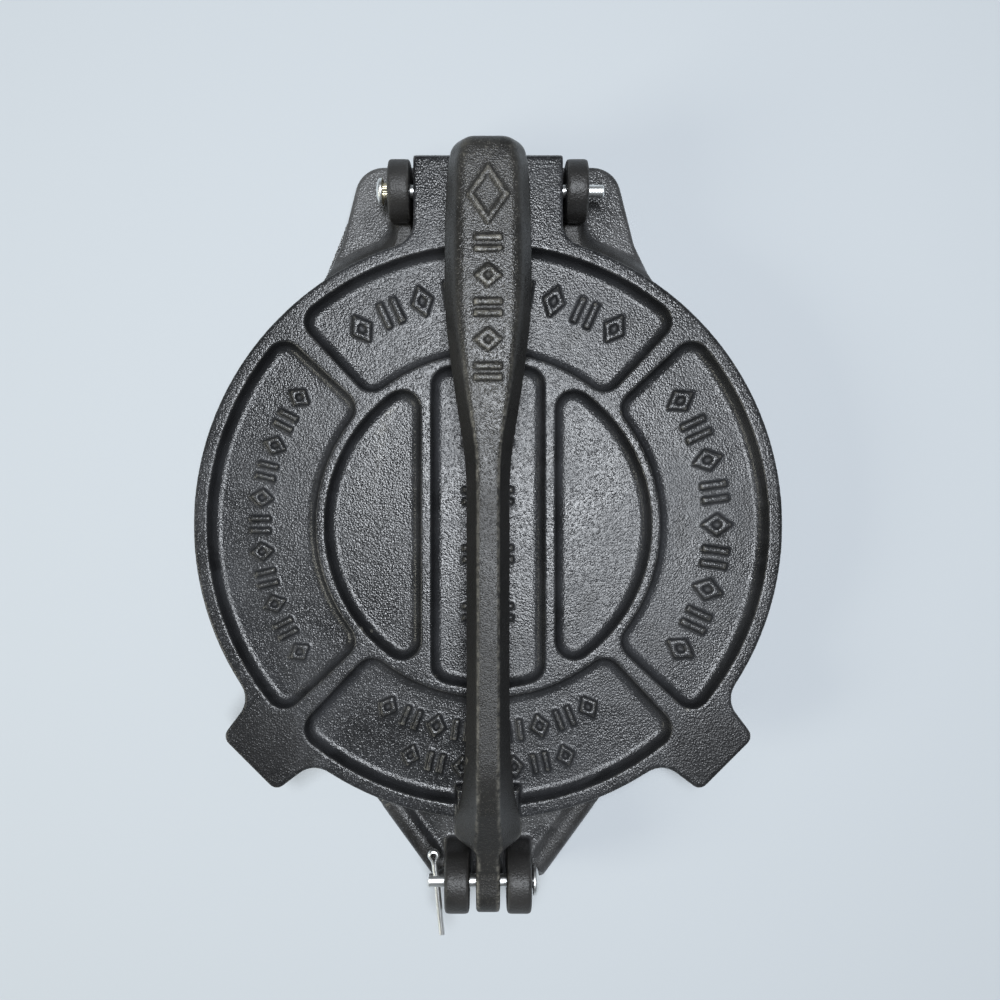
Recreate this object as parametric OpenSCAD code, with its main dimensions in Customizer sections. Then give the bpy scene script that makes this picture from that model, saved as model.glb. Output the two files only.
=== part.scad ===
// Cast-iron tortilla press, folded shut: a round base on two feet, a hinged lid
// with pockets between its ribs, and a lever that lies over the lid.
// +Y points to the hinge at the back, +Z up; the origin lies on the table under
// the middle of the whole press.

/* [Lid] */
// Diameter of the lid
lid_d = 216; // [200:1:230]
// Thickness of the lid's plate under its pockets
lid_floor = 3.2; // [2.6:0.1:6]
// Height of the rim and ribs above the pocket floors
rib_h = 5.7; // [4:0.1:8]
// Width of the rim round the lid
rim_w = 5; // [4:0.5:7]
// Diameter of the round field inside the ring rib
field_d = 120; // [100:1:130]
// Width of the ring rib
ring_rib_w = 3.2; // [2.4:0.1:5]
// Angle taken by each spoke between the outer pockets
spoke_angle = 3.8; // [2.6:0.2:6]
// Width of the middle pocket
middle_pocket_w = 41.8; // [30:0.2:50]
// Width of the two straight ribs beside the middle pocket
bar_rib_w = 3.7; // [2.6:0.1:5]
// Corner radius of the pockets
pocket_round = 7; // [5:0.5:9]
// How far a pocket wall slopes in from top to floor
wall_run = 3.6; // [1:0.2:4]
// Width of the pad that the lever presses on
pad_w = 22; // [16:1:30]
// Length of that pad, from the front edge of the lid
pad_l = 11.5; // [9:0.5:16]
// Height of that pad above the rim
pad_rise = 2; // [1:0.1:3]

/* [Lugs] */
// Width of a lifting lug at its outer edge
lug_w = 28; // [20:0.5:34]
// Reach of a lug beyond the edge of the lid
lug_reach = 16; // [10:0.5:20]
// Angle of a lug from straight ahead
lug_angle = 45; // [38:1:52]
// Angle by which each side of a lug opens towards the lid
lug_flare = 8; // [0:1:12]
// Radius of the lug corners
lug_round = 3.5; // [2:0.5:6]
// Radius of the hollow curves where lugs and hinge block meet the lid
lid_fillet = 9; // [6:0.5:12]

/* [Hinge] */
// Distance of the hinge axis behind the edge of the lid
hinge_back = 16; // [15:0.5:22]
// Height of the hinge and lever axes above the pressing surface
axis_rise = 3.5; // [2.5:0.1:5]
// Width of the hinge block of the lid
block_w = 55; // [44:1:64]
// Reach of the hinge block behind its axis, and radius of its underside
block_r = 12.4; // [10:0.1:12.8]
// Corner radius of the hinge block's back edge
block_round = 3; // [0.5:0.1:4]
// Thickness of a hinge ear
rear_ear_t = 8; // [6:0.5:10]
// Side play between the hinge block and each ear
rear_play = 1.2; // [0.4:0.1:2]
// Radius of the round ears of the base
ear_r = 11.4; // [9:0.1:12]

/* [Base] */
// Height of the pressing surface above the table
deck_z = 24; // [22:0.5:30]
// Thickness of the pressing plate of the base
deck_t = 3.5; // [3:0.1:6]
// How far the base stands out round the lid
base_lip = 1; // [0:0.1:2]
// Gap between the plates when the press is shut and empty
plate_gap = 0.3; // [0.2:0.1:1]
// Thickness of the skirt round the base
skirt_t = 3.6; // [3:0.1:6]
// Gap between the skirt and the table, away from the feet
skirt_gap = 6; // [3:0.5:9]
// Drop from the hinge axis to the flat top of the feet, where the open lid stops
foot_drop = 13.2; // [13:0.1:17]
// Wall thickness of the feet
foot_t = 3.6; // [3:0.1:6]
// Width of the back foot along its back edge
rear_foot_w = 98; // [92:1:112]
// Reach of the back foot beyond the hinge axis
rear_foot_reach = 14; // [12.5:0.5:18]
// Corner radius of the back foot
rear_foot_round = 11; // [6:0.5:15]
// Width of the front foot along its front edge
front_foot_w = 42; // [38:1:54]
// Reach of the front foot beyond the lever axis
front_foot_reach = 4; // [1:0.5:6]
// How far the front foot widens towards the disc, on each side
front_foot_flare = 20; // [8:1:26]
// Leg of the sloping fillet between the back foot and the disc's side
rear_fillet = 7.6; // [3:0.2:8]
// Depth of the shelves in front of the hinge ears below the pressing surface
shelf_drop = 3; // [2:0.5:5]
// How far the outer side of a shelf leans in from the foot to its top
shelf_run = 3; // [1:0.5:4]
// Leg of the sloping fillet between the front foot and the disc's side
front_fillet = 4; // [2:0.2:6]
// Slope of the feet's walls, as their run from top to table
foot_run = 2; // [0:0.5:4]
// Height of the ribs under the pressing plate
under_rib_h = 5; // [3:0.5:7]
// Thickness of the ribs under the pressing plate
under_rib_t = 3.4; // [2.4:0.1:5]

/* [Lever] */
// Distance of the lever axis in front of the edge of the lid
pivot_front = 24.5; // [23:0.5:30]
// Thickness of a lever ear
front_ear_t = 9.2; // [7:0.2:11]
// Gap between the lever ears
clevis_gap = 13.6; // [12:0.2:16]
// Width of the lever's tongue between the ears
tongue_w = 8.8; // [7:0.2:10.5]
// Radius of the round end of the tongue
tongue_r = 10.8; // [9:0.1:11.4]
// Gap between the lever's heel and the pad on the shut lid
heel_gap = 0.3; // [0.2:0.1:3]
// Width of the lever's heel
heel_w = 25; // [20:0.2:27]
// Rise of the bar's underside above the heel
bar_rise = 7; // [3:0.5:12]
// Width of the lever's bar at its widest
bar_w = 15.6; // [12:0.2:19]
// Width of the flat ridge along the top of the bar
ridge_w = 7.6; // [5:0.2:10]
// Depth of the bar
bar_h = 15; // [11:0.2:18]
// Width of the grip
grip_w = 30.6; // [26:0.2:36]
// Thickness of the grip
grip_t = 17; // [14:0.2:20]
// Length of the grip with its tapering neck
grip_l = 119; // [100:1:130]
// Corner radius of the grip's end, seen from above
tip_round = 6.2; // [4:0.1:9]
// Distance from the lever axis to the end of the grip
lever_l = 266.5; // [250:0.5:285]

/* [Pins] */
// Diameter of both pins
pin_d = 4.8; // [4:0.1:6]
// Running clearance round a pin, on the radius
pin_clear = 0.08; // [0.04:0.01:0.1]
// Length of each pin's plain end outside its ear
pin_stub = 6.4; // [5.6:0.1:9]
// Diameter of the hinge pin's head
rear_head_d = 9.7; // [8:0.1:12]
// Thickness of both pin heads
head_t = 2.3; // [1.6:0.1:3]
// Diameter of the hinge pin's ribbed neck
neck_d = 6.1; // [6.05:0.05:7]
// Length of the neck that stands outside its ear
neck_out = 2.6; // [1:0.1:3.5]
// Length of the neck that is driven into its ear
neck_in = 3; // [1.5:0.1:4]
// Diameter of the lever pin's head
front_head_d = 10.4; // [8:0.1:12]
// Gap between the lever pin's head and its ear
front_head_gap = 0.7; // [0.1:0.1:1]

/* [Split pin] */
// Diameter of the split pin's closed legs
split_d = 2; // [1.4:0.1:2.2]
// Clearance round the split pin in its cross hole, on the radius
split_clear = 0.3; // [0.15:0.05:0.4]
// Length of the split pin from the lever pin's axis to the tips
split_tip = 20; // [14:0.5:24]
// Distance from the lever pin's axis to the start of the eye
split_neck = 7; // [5:0.5:9]
// Outer diameter of the split pin's eye
split_eye_d = 4.2; // [3.6:0.1:6]

/* [Hidden] */
$fn = 96;
iron = [0.17, 0.17, 0.175];
zinc = [0.75, 0.75, 0.73];
bite = 0.6; // how far fused shapes run into each other
shelf_cut_angle = 22; // between a shelf's side and the disc where they meet
corner_steps = 7;
arc_steps = 20;

lid_r = lid_d / 2;
base_r = lid_r + base_lip;
lid_z = deck_z + plate_gap;
pocket_z = lid_z + lid_floor;
top_z = pocket_z + rib_h;
axis_z = deck_z + axis_rise;
foot_h = axis_z - foot_drop;
shelf_z = deck_z - shelf_drop;
hinge_y = lid_r + hinge_back;
pivot_y = -lid_r - pivot_front;
bore_d = pin_d + 2 * pin_clear;
field_r = field_d / 2;
middle_half = middle_pocket_w / 2;
side_edge = middle_half + bar_rib_w;
rear_ear_x = block_w / 2 + rear_play;
rear_ear_out = rear_ear_x + rear_ear_t;
front_ear_x = clevis_gap / 2;
front_ear_out = front_ear_x + front_ear_t;
split_r = split_d / 2;
split_x = -front_ear_out - pin_stub / 2;
heel_z = top_z + pad_rise + heel_gap;
// The split pin lies aslant, nearly as far as its loose hole lets it.
split_lean = atan(0.84 * split_clear / (pin_d / 2));

// The middle of the whole press lies over the origin.
front_reach = -pivot_y + split_tip * cos(split_lean) + split_r * sin(split_lean);
rear_reach = max(hinge_y + rear_foot_reach + foot_run, lever_l + pivot_y, hinge_y + block_r);
shift_y = (front_reach - rear_reach) / 2;

// Plan outlines are lists of arcs, each [centre x, centre y, radius, from, to, bulge].
// Straight edges run from the end of one arc to the start of the next.
function arc_points(a, inset, steps) =
    let (r = a[2] - a[5] * inset)
    [for (i = [0:steps]) let (t = a[3] + (a[4] - a[3]) * i / steps) [a[0] + r * cos(t), a[1] + r * sin(t)]];

function outline(arcs, inset) =
    [for (a = arcs) each arc_points(a, inset, abs(a[2]) > 2 * pocket_round ? arc_steps : corner_steps)];

// An outer pocket, centred on +X, between two radii and two radial sides.
function outer_pocket_arcs() =
    let (
        r_in = field_r + ring_rib_w,
        r_out = lid_r - rim_w,
        half = 45 - spoke_angle / 2,
        c = pocket_round,
        out_a = half - asin(c / (r_out - c)),
        in_a = half - asin(c / (r_in + c)),
        out_c = [(r_out - c) * cos(out_a), (r_out - c) * sin(out_a)],
        in_c = [(r_in + c) * cos(in_a), (r_in + c) * sin(in_a)]
    )
    [
        [0, 0, r_out, -out_a, out_a, 1],
        [out_c[0], out_c[1], c, out_a, half + 90, 1],
        [in_c[0], in_c[1], c, half + 90, in_a + 180, 1],
        [0, 0, r_in, in_a, -in_a, -1],
        [in_c[0], -in_c[1], c, 180 - in_a, 270 - half, 1],
        [out_c[0], -out_c[1], c, 270 - half, 360 - out_a, 1]
    ];

// A side pocket of the round field, on +X: a straight edge and an arc.
function side_pocket_arcs() =
    let (
        c = pocket_round,
        x = side_edge + c,
        y = sqrt(pow(field_r - c, 2) - x * x),
        a = atan2(y, x)
    )
    [
        [0, 0, field_r, -a, a, 1],
        [x, y, c, a, 180, 1],
        [x, -y, c, 180, 360 - a, 1]
    ];

// The middle pocket of the round field: two straight sides and two arcs.
function middle_pocket_arcs() =
    let (
        c = pocket_round,
        x = middle_half - c,
        y = sqrt(pow(field_r - c, 2) - x * x),
        a = atan2(y, x)
    )
    [
        [x, -y, c, -a, 0, 1],
        [x, y, c, 0, a, 1],
        [0, 0, field_r, a, 180 - a, 1],
        [-x, y, c, 180 - a, 180, 1],
        [-x, -y, c, 180, 180 + a, 1],
        [0, 0, field_r, 180 + a, 360 - a, 1]
    ];

// A polygon whose corners are [x, y, radius], rounded, in anticlockwise order.
function rounded(corners, steps = corner_steps) =
    let (n = len(corners))
    [for (i = [0:n - 1])
        let (
            p = [corners[i][0], corners[i][1]],
            r = corners[i][2],
            a = [corners[(i + n - 1) % n][0], corners[(i + n - 1) % n][1]] - p,
            b = [corners[(i + 1) % n][0], corners[(i + 1) % n][1]] - p,
            ua = a / norm(a),
            ub = b / norm(b),
            half = acos(ua * ub) / 2,
            mid = (ua + ub) / norm(ua + ub),
            centre = p + mid * r / sin(half),
            from = p + ua * r / tan(half) - centre,
            to = p + ub * r / tan(half) - centre,
            a0 = atan2(from[1], from[0]),
            turn = atan2(from[0] * to[1] - from[1] * to[0], from * to)
        )
        each [for (k = [0:steps]) let (t = a0 + turn * k / steps) centre + r * [cos(t), sin(t)]]];

// A solid between rings of points that all have the same count, from the lowest up.
module skin(rings) {
    n = len(rings[0]);
    m = len(rings);
    polyhedron(
        points = [for (ring = rings) each ring],
        faces = [
            [for (i = [0:n - 1]) i],
            for (k = [0:m - 2]) for (i = [0:n - 1])
                let (a = k * n + i, b = k * n + (i + 1) % n)
                each [[a, a + n, b + n], [a, b + n, b]],
            [for (i = [n - 1:-1:0]) (m - 1) * n + i]
        ]
    );
}

function ring_at(points, z) = [for (p = points) [p[0], p[1], z]];

// A pocket with sloping walls that curve into its floor, open at the top of the ribs.
module pocket(arcs) {
    over = 1;
    wall = [[1, 0], [0.55, 0.09], [0.27, 0.33], [0, 1], [-over / rib_h * 0.4, 1 + over / rib_h]];
    skin([for (k = wall) ring_at(outline(arcs, wall_run * k[0]), pocket_z + rib_h * k[1])]);
}

// The hollow curve between the disc and a straight edge that runs along +X at height w.
module hollow_curve(r, w, fillet) {
    cx = sqrt(pow(r + fillet, 2) - pow(w + fillet, 2));
    difference() {
        polygon([[0, 0], [cx, 0], [cx, w + fillet]]);
        translate([cx, w + fillet]) circle(fillet);
    }
}

// A lug along +X from the lid's centre, with its hollow curves.
module lug_plan() {
    reach = lid_r + lug_reach;
    grow = tan(lug_flare) * (reach - lid_r * 0.8);
    w = lug_w / 2;
    polygon(rounded([
        [lid_r * 0.8, -w - grow, 1],
        [reach, -w, lug_round],
        [reach, w, lug_round],
        [lid_r * 0.8, w + grow, 1]
    ]));
    // each side leans by the flare, so its curve is turned by the same angle
    edge = w * cos(lug_flare) + reach * sin(lug_flare);
    for (side = [-1, 1])
        mirror([0, side < 0 ? 1 : 0])
            rotate(-lug_flare)
                hollow_curve(lid_r, edge, lid_fillet);
}

module lid_plan() {
    circle(lid_r);
    for (side = [-1, 1]) rotate(-90 + side * lug_angle) lug_plan();
    translate([-block_w / 2, 0]) square([block_w, hinge_y - block_r]);
    for (side = [0, 1])
        mirror([side, 0]) rotate(90) mirror([0, 1]) hollow_curve(lid_r, block_w / 2, lid_fillet);
}

// A bar across the press: a plan in (y, z) that runs from x0 to x1.
module across(x0, x1) {
    translate([x0, 0, 0]) rotate([90, 0, 90]) linear_extrude(x1 - x0) children();
}

module cross_bore(y, d, x0, x1) {
    translate([x0, y, axis_z]) rotate([0, 90, 0]) cylinder(d = d, h = x1 - x0);
}

// The hinge block: round below its axis, so that it turns clear of the base, and
// square above it, so that its back edge meets the foot when the lid stands open.
module hinge_block() {
    across(-block_w / 2, block_w / 2)
        intersection() {
            union() {
                translate([hinge_y, axis_z]) circle(block_r);
                translate([hinge_y - 2 * block_r, lid_z]) square([2 * block_r, top_z - lid_z]);
                polygon(rounded([
                    [hinge_y - 2 * block_r, axis_z, 1],
                    [hinge_y + block_r, axis_z, 0.5],
                    [hinge_y + block_r, top_z, block_round],
                    [hinge_y - 2 * block_r, top_z, 0.5]
                ]));
            }
            translate([0, -lid_d]) square([2 * lid_d, top_z + lid_d]);
        }
}

module lid() {
    color(iron)
    difference() {
        union() {
            translate([0, 0, lid_z]) linear_extrude(top_z - lid_z) lid_plan();
            hinge_block();
        }
        for (quarter = [0:3]) rotate(90 * quarter) pocket(outer_pocket_arcs());
        for (half = [0, 180]) rotate(half) pocket(side_pocket_arcs());
        pocket(middle_pocket_arcs());
        cross_bore(hinge_y, bore_d, -block_w, block_w);
    }
    color(iron) press_pad();
}

// The pad under the lever's heel, bridging the front pocket's wall and the rim.
module press_pad() {
    slope = 1.5;
    intersection() {
        translate([0, 0, lid_z + bite]) cylinder(r = lid_r, h = 2 * rib_h + lid_floor);
        translate([0, -lid_r + pad_l, 0])
            rotate([90, 0, 0])
                linear_extrude(pad_l)
                    polygon([
                        [-pad_w / 2 - slope, lid_z + bite],
                        [pad_w / 2 + slope, lid_z + bite],
                        [pad_w / 2, top_z + pad_rise],
                        [-pad_w / 2, top_z + pad_rise]
                    ]);
    }
}

// Half width of the back foot at distance y, on its leaning side.
function rear_foot_side(y) = rear_foot_w / 2 + 0.25 * (hinge_y + rear_foot_reach - y);

// Plan of the back foot, grown outwards by d. Its sides lean more where they reach
// the disc.
function rear_foot_plan(d) =
    let (
        y = hinge_y + rear_foot_reach + d,
        neck_y = base_r * 0.99,
        neck_x = rear_foot_side(neck_y) + d,
        y0 = base_r * 0.6,
        root_x = neck_x + 0.48 * (neck_y - y0)
    )
    rounded([
        [-root_x, y0, 1],
        [root_x, y0, 1],
        [neck_x, neck_y, 2],
        [rear_foot_side(y) + d, y, rear_foot_round],
        [-rear_foot_side(y) - d, y, rear_foot_round],
        [-neck_x, neck_y, 2]
    ]);

// Plan of the back foot's hollow, grown outwards by d: its sides run straight.
function rear_hollow_plan(d) =
    let (y = hinge_y + rear_foot_reach + d, y0 = base_r * 0.6)
    rounded([
        [-rear_foot_side(y0) - d, y0, 1],
        [rear_foot_side(y0) + d, y0, 1],
        [rear_foot_side(y) + d, y, rear_foot_round - foot_t],
        [-rear_foot_side(y) - d, y, rear_foot_round - foot_t]
    ]);

// Plan of the front foot, grown outwards by d.
function front_foot_plan(d) =
    let (
        w = front_foot_w / 2 + d,
        y = pivot_y - front_foot_reach - d,
        lean = front_foot_flare / (-base_r - y),
        y0 = -base_r * 0.85,
        w0 = w + lean * (y0 - y)
    )
    rounded([[w0, y0, 1], [-w0, y0, 1], [-w, y, 3], [w, y, 3]]);

// A foot: a hollow box with sloping walls, closed at the top, that joins the skirt.
module foot(outer_bottom, outer_top, inner_bottom, inner_top) {
    difference() {
        skin([ring_at(outer_bottom, 0), ring_at(outer_top, foot_h)]);
        skin([ring_at(inner_bottom, -1), ring_at(inner_top, foot_h - foot_t)]);
        translate([0, 0, -1]) cylinder(r = base_r - skirt_t, h = foot_h + 2);
    }
}

// The part of the skirt's ring above a foot's plan, carried down to the table.
module foot_ring(plan) {
    intersection() {
        difference() {
            cylinder(r = base_r, h = foot_h);
            translate([0, 0, -1]) cylinder(r = base_r - skirt_t, h = foot_h + 2);
        }
        linear_extrude(foot_h) polygon(plan);
    }
}

// Outline of an ear: a round head on a stem. Its sides leave the head at the angle
// given for each side and run straight down to the foot.
function head_point(y, a) = [y + ear_r * cos(a), axis_z + ear_r * sin(a)];

module ear_plan(y, left_angle, left_y, right_angle, right_y) {
    translate([y, axis_z]) circle(ear_r);
    polygon([
        [y, axis_z],
        head_point(y, left_angle),
        [left_y, foot_h - bite],
        [right_y, foot_h - bite],
        head_point(y, right_angle)
    ]);
}

// The sloping fillet where a foot meets the side of the disc, except for x below clear.
module foot_fillet_ring(plan, leg, clear) {
    intersection() {
        difference() {
            translate([0, 0, foot_h - bite])
                cylinder(r1 = base_r + leg + bite, r2 = base_r - bite, h = leg + 2 * bite);
            translate([0, 0, foot_h - 2 * bite]) cylinder(r = base_r - skirt_t / 2, h = leg + 4 * bite);
            if (clear > 0)
                translate([-clear, 0, 0]) cube([2 * clear, 2 * base_r, top_z]);
        }
        linear_extrude(deck_z) polygon(plan);
    }
}

module under_ribs() {
    z = deck_z - deck_t - under_rib_h;
    difference() {
        translate([0, 0, z]) cylinder(r = field_r + ring_rib_w, h = under_rib_h + bite);
        translate([0, 0, z - 1]) cylinder(r = field_r + ring_rib_w - under_rib_t, h = under_rib_h + 2);
    }
    for (turn = [45:90:315])
        rotate(turn)
            translate([field_r + ring_rib_w - bite, -under_rib_t / 2, z])
                cube([base_r - skirt_t - field_r - ring_rib_w + 2 * bite, under_rib_t, under_rib_h + bite]);
}

module base_disc() {
    difference() {
        translate([0, 0, skirt_gap]) cylinder(r = base_r, h = deck_z - skirt_gap);
        translate([0, 0, skirt_gap - 1])
            cylinder(r = base_r - skirt_t, h = deck_z - deck_t - skirt_gap + 1);
    }
    under_ribs();
}

module base() {
    color(iron)
    difference() {
        union() {
            base_disc();
            foot(rear_foot_plan(foot_run), rear_foot_plan(0),
                rear_hollow_plan(foot_run - foot_t), rear_hollow_plan(-foot_t));
            foot(front_foot_plan(foot_run), front_foot_plan(0),
                front_foot_plan(foot_run - foot_t), front_foot_plan(-foot_t));
            for (plan = [rear_foot_plan(-bite), front_foot_plan(-bite)]) foot_ring(plan);
            foot_fillet_ring(rear_foot_plan(-bite), rear_fillet, rear_ear_x + rear_ear_t / 2);
            foot_fillet_ring(front_foot_plan(-bite), front_fillet, 0);
            rear_ears();
            front_ears();
        }
        cross_bore(hinge_y, bore_d, -rear_ear_out - 1, rear_ear_out + 1);
        cross_bore(hinge_y, neck_d, -rear_ear_out - 1, -rear_ear_out + neck_in);
        cross_bore(pivot_y, bore_d, -front_ear_out - 1, front_ear_out + 1);
    }
}

// Plan of the shelf in front of a hinge ear. Its outer side runs at the distance w from
// the middle and bends in a hollow curve towards the circle of radius r, which it cuts
// at a clear angle.
function shelf_plan(r, w) =
    let (
        x = w + lid_fillet,
        y = sqrt(pow(r + lid_fillet, 2) - x * x),
        turn = atan2(y, x) - shelf_cut_angle,
        over = 8
    )
    [
        [rear_ear_x, base_r * 0.9],
        [
            x - lid_fillet * cos(turn) + over * sin(turn),
            y - lid_fillet * sin(turn) - over * cos(turn)
        ],
        for (i = [corner_steps:-1:0])
            let (t = turn * i / corner_steps)
            [x - lid_fillet * cos(t), y - lid_fillet * sin(t)],
        [w, hinge_y],
        [rear_ear_x, hinge_y]
    ];

// The hinge ears, each with a low shelf that runs forward to the disc and whose outer
// side slopes like the fillet along the disc.
module rear_ears() {
    r_low = base_r + rear_fillet + bite;
    r_high = max(base_r, base_r + rear_fillet - bite - (shelf_z - foot_h));
    stem_angle = 30;
    for (side = [0, 1]) mirror([side, 0, 0]) {
        across(rear_ear_x, rear_ear_out)
            ear_plan(hinge_y, 180 + stem_angle, hinge_y - ear_r * cos(stem_angle), 0, hinge_y + ear_r);
        difference() {
            skin([
                ring_at(shelf_plan(r_low, rear_ear_out + shelf_run / 3), foot_h - bite),
                ring_at(shelf_plan(r_high, rear_ear_out - shelf_run * 2 / 3), shelf_z + bite)
            ]);
            translate([0, 0, shelf_z]) cylinder(r = hinge_y + ear_r, h = deck_z);
            translate([0, 0, foot_h - 2]) cylinder(r = base_r - skirt_t / 2, h = deck_z);
        }
    }
}

// The lever ears, which fall straight to the foot in front of the disc.
module front_ears() {
    for (side = [0, 1]) mirror([side, 0, 0])
        across(front_ear_x, front_ear_out)
            ear_plan(pivot_y, 215, pivot_y - front_foot_reach, 0, pivot_y + ear_r);
}

// Points between keys b and c of a smooth run of keys a, b, c, d.
function between(a, b, c, d, t) =
    0.5 * (2 * b + (c - a) * t + (2 * a - 5 * b + 4 * c - d) * t * t + (3 * b - a - 3 * c + d) * t * t * t);

function smooth_run(keys, steps) =
    [
        for (i = [0:len(keys) - 2])
            for (k = [0:steps - 1])
                between(keys[max(i - 1, 0)], keys[i], keys[i + 1], keys[min(i + 2, len(keys) - 1)], k / steps),
        keys[len(keys) - 1]
    ];

// A section of the lever across it. The key holds, in this order: distance from the
// axis, half widths of the underside, the widest line and the top, heights of the
// underside, the widest line and the top, and the radius of the upper edges.
function lever_section(key) =
    let (
        s = key[0],
        b = key[1],
        w = key[2],
        t = key[3],
        round_r = key[7]
    )
    [for (p = rounded([
        [-b, key[4], 1.4],
        [b, key[4], 1.4],
        [w, key[5], 2],
        [t, key[6], round_r],
        [-t, key[6], round_r],
        [-w, key[5], 2]
    ], 3)) [p[0], pivot_y + s, p[1]]];

module lever_body() {
    bar_z = heel_z + bar_rise;
    bar_top = bar_z + bar_h;
    grip_top = bar_z + grip_t;
    tw = tongue_w / 2;
    hw = heel_w / 2;
    bw = bar_w / 2;
    rw = ridge_w / 2;
    gw = grip_w / 2;
    neck_s = lever_l - grip_l; // where the bar starts to widen into the grip
    tongue_top = axis_z + tongue_r;
    ridge_run = 50; // length over which the ridge rises from the tongue to the bar
    function ridge(s) = tongue_top + (bar_top - tongue_top) * (1 - cos(180 * min(1, s / ridge_run))) / 2;
    function wide(share) = bw + (gw - bw) * share;
    bar_mid = bar_z + 0.3 * bar_h;
    grip_mid = bar_z + 0.52 * grip_t;
    heel_mid = heel_z + 3;
    tip_s = lever_l - tip_round;
    keys = [
        [8, tw * 0.8, tw, rw, axis_z, axis_z + 5, ridge(8), 0.6],
        [14, tw * 0.9, tw + 0.4, rw * 1.05, heel_z - 4.2, heel_z - 0.5, ridge(14), 0.6],
        [17, tw + 2, tw + 3.6, rw * 1.25, heel_z - 1, heel_mid - 0.6, ridge(17), 0.6],
        [20.5, hw - 1.4, hw - 0.2, rw * 1.2, heel_z, heel_mid, ridge(20.5), 0.6],
        [24.5, hw - 1.2, hw, rw * 1.1, heel_z, heel_mid, ridge(24.5), 0.6],
        [30, hw - 2.6, hw - 1.2, rw * 1.05, heel_z + 0.15, heel_mid + 0.6, ridge(30), 0.6],
        [35, hw - 4, hw - 2.4, rw, heel_z + 1.2, heel_mid + 1.4, ridge(35), 0.6],
        [47, bw * 0.86, bw * 1.12, rw, bar_z - 1.6, bar_mid - 1, ridge(47), 0.6],
        [66, bw * 0.84, bw, rw, bar_z, bar_mid, bar_top, 0.6],
        [neck_s - 24, bw * 0.84, bw, rw, bar_z, bar_mid, bar_top, 0.6],
        [neck_s, bw * 0.84, wide(0.01), rw, bar_z, bar_mid, bar_top, 0.7],
        [neck_s + 0.11 * grip_l, wide(0.02), wide(0.15), rw * 1.15, bar_z, bar_mid + 0.5, bar_top, 1],
        [neck_s + 0.22 * grip_l, wide(0.22), wide(0.42), rw * 1.7, bar_z, grip_mid - 2, grip_top - 1, 2.2],
        [neck_s + 0.40 * grip_l, wide(0.5), wide(0.82), gw * 0.62, bar_z, grip_mid - 0.6, grip_top - 0.3, 3.8],
        [neck_s + 0.54 * grip_l, wide(0.66), gw, gw * 0.71, bar_z, grip_mid, grip_top, 4.6],
        [neck_s + 0.76 * grip_l, wide(0.64), wide(0.98), gw * 0.70, bar_z, grip_mid, grip_top, 4.6],
        [tip_s - 5, wide(0.54), wide(0.87), gw * 0.66, bar_z, grip_mid, grip_top, 4.4],
        [tip_s, wide(0.44), wide(0.77), gw * 0.58, bar_z + 0.2, grip_mid, grip_top - 0.2, 4]
    ];
    // the end is rounded off in both directions
    last = keys[len(keys) - 1];
    tip = [for (a = [15:15:90]) [
        tip_s + tip_round * sin(a),
        last[1] - tip_round * 0.6 * (1 - cos(a)),
        last[2] - tip_round * (1 - cos(a)),
        last[3] - tip_round * 0.75 * (1 - cos(a)),
        last[4] + grip_t * 0.36 * (1 - cos(a)),
        last[5],
        last[6] - grip_t * 0.34 * (1 - cos(a)),
        4 - 2.6 * (1 - cos(a))
    ]];
    rings = [for (key = concat(smooth_run(keys, 3), tip)) lever_section(key)];
    skin([for (k = [len(rings) - 1:-1:0]) rings[k]]);
}

// The tongue: a round eye whose upper side runs on into the heel.
module tongue() {
    lean = 16;
    across(-tongue_w / 2, tongue_w / 2) {
        translate([pivot_y, axis_z]) circle(tongue_r);
        polygon([
            [pivot_y - tongue_r * sin(lean), axis_z + tongue_r * cos(lean)],
            [pivot_y - tongue_r * sin(lean), axis_z],
            [pivot_y + tongue_r * cos(lean), axis_z - tongue_r * sin(lean)],
            [pivot_y + 14, heel_z - 4],
            [pivot_y + 18, heel_z],
            [pivot_y + 18, heel_z + 4]
        ]);
    }
}

module handle() {
    color(iron)
    difference() {
        union() {
            tongue();
            lever_body();
        }
        cross_bore(pivot_y, bore_d, -tongue_w, tongue_w);
    }
}

// A pin along +X from its head's outer face; the head is a low dome.
module pin(head_d, shank_l) {
    dome_r = (head_d * head_d / 4 + head_t * head_t) / (2 * head_t);
    rotate([0, 90, 0]) {
        intersection() {
            translate([0, 0, dome_r]) sphere(dome_r);
            cylinder(d = head_d, h = head_t);
        }
        translate([0, 0, head_t - bite]) cylinder(d = pin_d, h = shank_l + bite - 0.5);
        translate([0, 0, head_t + shank_l - 0.5]) cylinder(d1 = pin_d, d2 = pin_d - 1, h = 0.5);
    }
}

module hinge_pin() {
    color(zinc)
    translate([-rear_ear_out - neck_out - head_t, hinge_y, axis_z]) {
        pin(rear_head_d, neck_out + 2 * rear_ear_out + pin_stub);
        translate([head_t - bite, 0, 0])
            rotate([0, 90, 0]) cylinder(d = neck_d, h = neck_out + neck_in + bite);
    }
}

module lever_pin() {
    color(zinc)
    difference() {
        translate([front_ear_out + front_head_gap + head_t, pivot_y, axis_z])
            mirror([1, 0, 0]) pin(front_head_d, front_head_gap + 2 * front_ear_out + pin_stub);
        translate([split_x, pivot_y, axis_z])
            rotate([90, 0, 0]) cylinder(r = split_r + split_clear, h = 2 * pin_d, center = true);
    }
}

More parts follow.
